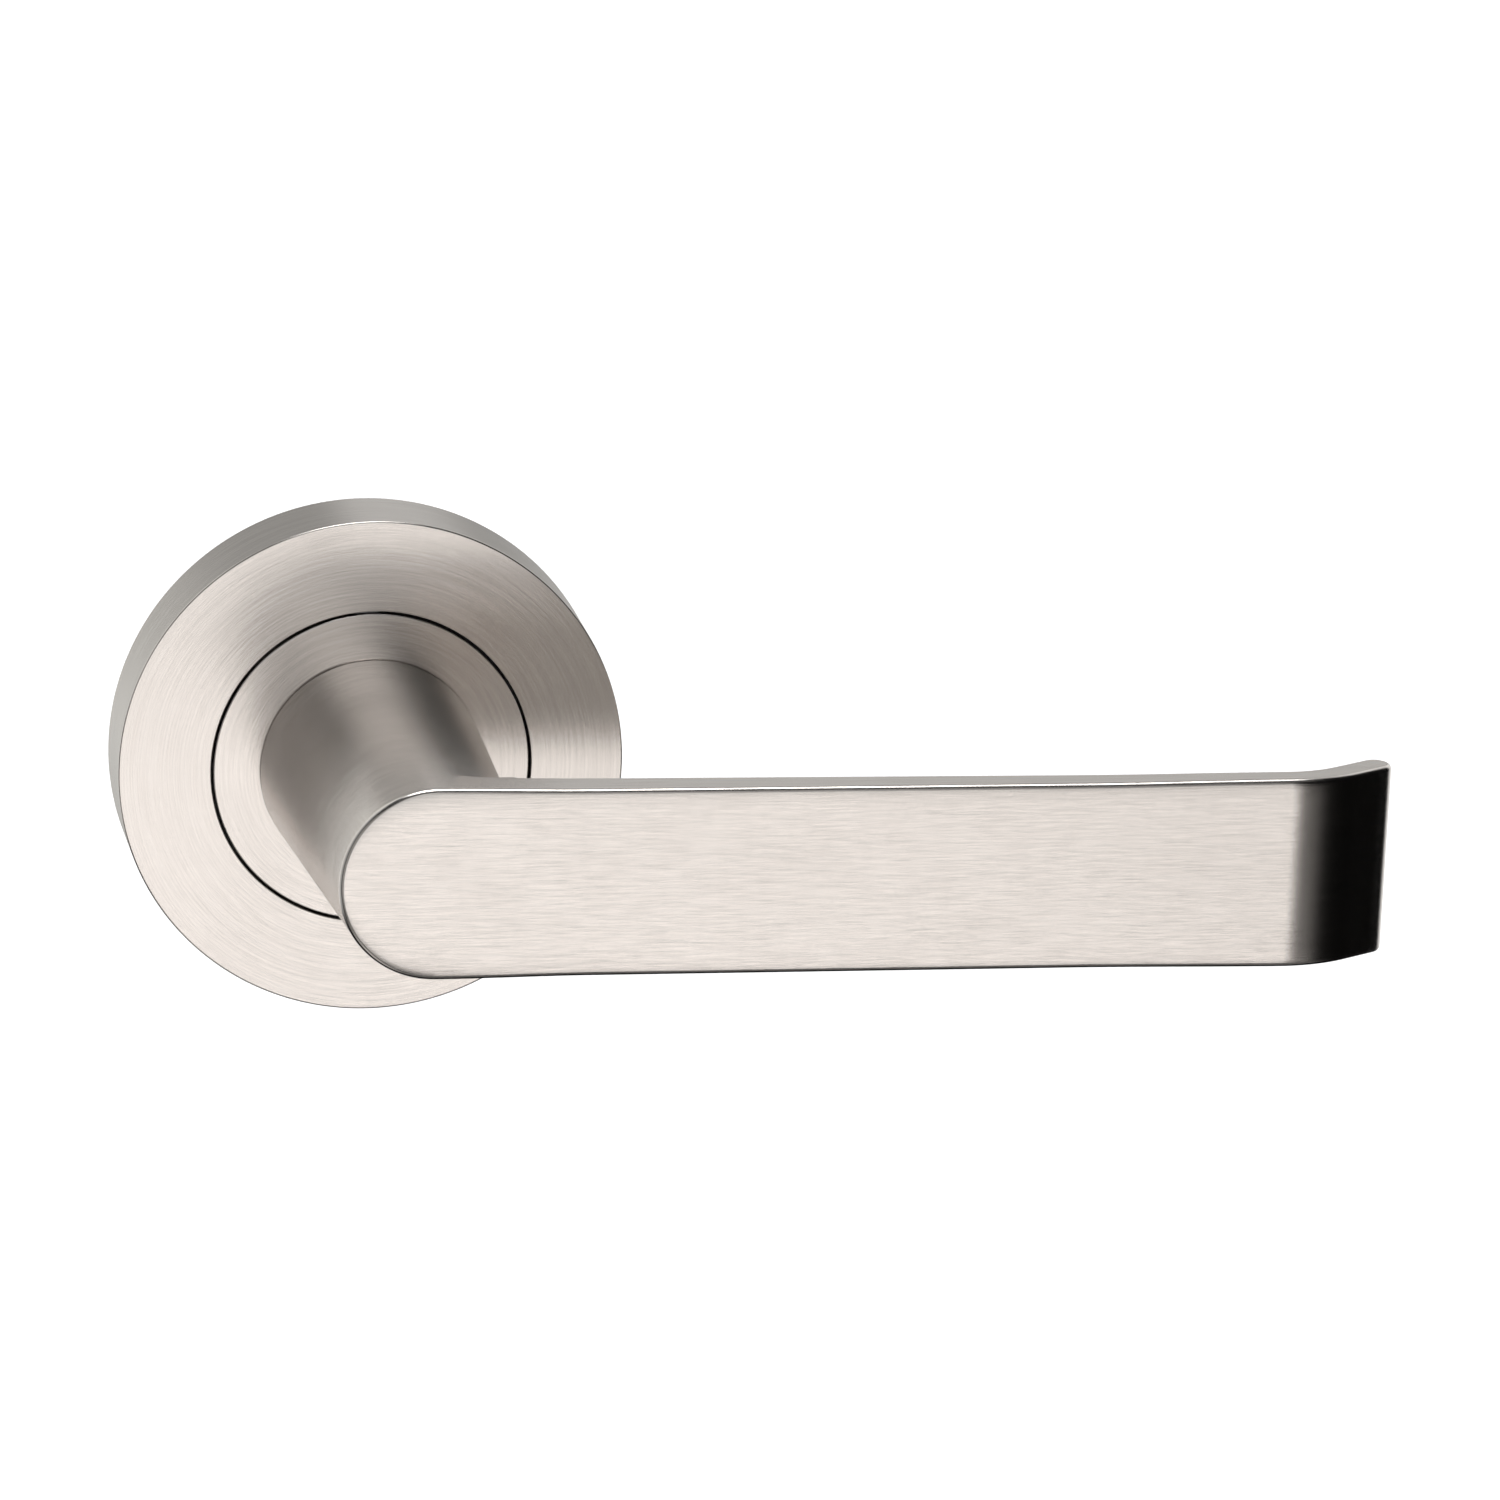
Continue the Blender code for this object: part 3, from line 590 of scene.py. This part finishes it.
def buildLever():
    half = lever["spindle"] / 2 + gap
    socket = block((-half, -lever["socketDepth"], -half), (half, leverHigh.y + 2 * mm, half))
    grubOut = (0, lever["grubY"], -lever["neckBase"] - 2 * mm)
    hole = rod((0, lever["grubY"], 0), grubOut, lever["grubRadius"] + gap)
    shape = carve(gripShape(), ("UNION", neckShape()), ("UNION", webShape()),
                  ("DIFFERENCE", socket), ("DIFFERENCE", hole))
    makePiece("leverHandle", shape, "lever_handle", leverSteel, sharp=28)


print("rose and lever")
buildRoseCover()
buildCollar()
buildLever()

# the rest of the frame's solids keep their shape and take their finish
for nodeName, node in frame["nodes"].items():
    if not node.hide_render:
        node.data.materials.clear()
        node.data.materials.append(looks[slotOf[nodeName]])


# pale floor, far enough below that no shadow of the handle shows behind it
stage = {"drop": 0.30, "size": 30.0, "glow": 0.55}


def buildFloor():
    shape = bmesh.new()
    bmesh.ops.create_grid(shape, x_segments=1, y_segments=1, size=stage["size"] / 2,
                          matrix=Matrix.Translation((0, 0, -stage["drop"])))
    mesh = bpy.data.meshes.new("floor")
    shape.to_mesh(mesh)
    shape.free()
    floor = bpy.data.objects.new("floor", mesh)
    bpy.context.scene.collection.objects.link(floor)
    made, paint = newMaterial("paleFloor")
    closeMaterial(paint, {
        "Base Color": colour(0.90, 0.90, 0.90), "Roughness": 0.9,
        "Emission Color": colour(1.0, 1.0, 1.0), "Emission Strength": stage["glow"],
    })
    mesh.materials.append(made)
    floor.visible_glossy = False


# studio: soft panels in a dim room. Each has its bearing from the room side and its height above level,
# half its width and half its height, and how soft its edge is, all in degrees, then its light
panels = {
    "frontLow": {"at": (4, -19), "half": (16.5, 3.5), "soft": 3, "light": (1.92, 1.87, 1.83)},
    "frontMid": {"at": (4, -10), "half": (16.5, 4), "soft": 3, "light": (0.60, 0.59, 0.58)},
    "frontWide": {"at": (4, -23), "half": (36, 6), "soft": 8, "light": (0.32, 0.31, 0.30)},
    "frontTall": {"at": (-1, 14), "half": (13, 24), "soft": 3, "light": (0.73, 0.73, 0.72)},
    "frontLeft": {"at": (-36, 0), "half": (12, 26), "soft": 6, "light": (0.42, 0.41, 0.40)},
    "floorLeft": {"at": (-45, -59), "half": (23, 15), "soft": 12, "light": (0.60, 0.58, 0.56)},
    "floorFront": {"at": (10, -54), "half": (50, 18), "soft": 10, "light": (0.15, 0.15, 0.15)},
    "frontHigh": {"at": (5, 54), "half": (45, 12), "soft": 8, "light": (0.11, 0.11, 0.11)},
    "sideLeft": {"at": (-95, 10), "half": (26, 45), "soft": 8, "light": (0.50, 0.50, 0.50)},
    "sideRight": {"at": (130, 10), "half": (24, 45), "soft": 6, "light": (0.60, 0.60, 0.60)},
    "behindLow": {"at": (-170, -18), "half": (25, 10), "soft": 9, "light": (0.30, 0.30, 0.29)},
    "behindLeft": {"at": (-139, 15), "half": (21, 44), "soft": 3, "light": (0.55, 0.55, 0.53)},
    "behindRight": {"at": (169, 18), "half": (7, 13), "soft": 3, "light": (0.24, 0.24, 0.24)},
    "behindWide": {"at": (180, 15), "half": (65, 40), "soft": 14, "light": (0.32, 0.32, 0.31)},
}
overhead = {"bearing": 180, "height": 84, "radius": 15.5, "soft": 4.5, "light": 5.7}
dimRoom = 0.002


# how much of a panel lies in the ray's direction, 0 to 1
def panelShare(paint, x, y, height, panel):
    turn, middle = (math.radians(angle) for angle in panel["at"])
    wide, tall = (math.radians(angle) for angle in panel["half"])
    soft = math.radians(panel["soft"])
    sideways = x * math.cos(turn) + y * math.sin(turn)
    forwards = x * math.sin(turn) - y * math.cos(turn)
    off = sideways.maths("ARCTAN2", forwards).maths("ABSOLUTE")
    up = (height - middle).maths("ABSOLUTE")
    return (1 - off.rise(wide - soft, wide + soft)) * (1 - up.rise(tall - soft, tall + soft))


def buildStudio():
    world = bpy.data.worlds.new("studio")
    world.use_nodes = True
    bpy.context.scene.world = world
    paint = Paint(world.node_tree)
    ray = paint.node("ShaderNodeTexCoord", None, None, "Generated")
    x, y, z = paint.parts(ray)
    height = z.maths("ARCSINE")
    turn, tilt = math.radians(overhead["bearing"]), math.radians(overhead["height"])
    middle = (math.sin(turn) * math.cos(tilt), -math.cos(turn) * math.cos(tilt), math.sin(tilt))
    nearness = x * middle[0] + y * middle[1] + z * middle[2]
    inner, outer = (math.cos(math.radians(overhead["radius"] + k * overhead["soft"])) for k in (-1, 1))
    top = nearness.rise(outer, inner) * overhead["light"] + dimRoom
    light = paint.vector(top, top, top)
    for panel in panels.values():
        share = panelShare(paint, x, y, height, panel)
        glow = paint.vector(*(share * part for part in panel["light"]))
        light = paint.node("ShaderNodeVectorMath", {"operation": "ADD"}, [light, glow])
    seen = paint.node("ShaderNodeLightPath", None, None, "Is Camera Ray")
    lit = paint.node("ShaderNodeBackground", None, {"Color": light, "Strength": 1.0})
    shown = paint.node("ShaderNodeBackground", None, {"Color": colour(1, 1, 1), "Strength": 1.0})
    both = paint.node("ShaderNodeMixShader", None, {0: seen, 1: lit, 2: shown})
    paint.node("ShaderNodeOutputWorld", None, {"Surface": both})


# camera: from above on the left, with a long lens
lens = {
    "place": (-0.15198, -1.03699, 0.30856), "bearing": 11.056, "drop": 16.367, "roll": 2.526,
    "length": 206.07,
}


def buildCamera():
    bearing, drop, roll = (math.radians(lens[k]) for k in ("bearing", "drop", "roll"))
    level = Vector((math.sin(bearing), math.cos(bearing), 0.0))
    ahead = level * math.cos(drop) + Vector((0, 0, -math.sin(drop)))
    side = Vector((math.cos(bearing), -math.sin(bearing), 0.0))
    up = side.cross(ahead)
    right = side * math.cos(roll) + up * math.sin(roll)
    top = right.cross(ahead)
    data = bpy.data.cameras.new("camera")
    data.lens = lens["length"]
    data.clip_start, data.clip_end = 0.05, 60.0
    camera = bpy.data.objects.new("camera", data)
    bpy.context.scene.collection.objects.link(camera)
    turn = Matrix((right, top, -ahead)).transposed().to_4x4()
    camera.matrix_world = Matrix.Translation(lens["place"]) @ turn
    bpy.context.scene.camera = camera


print("studio")
buildFloor()
buildStudio()
buildCamera()
bpy.context.scene.view_settings.view_transform = "Standard"
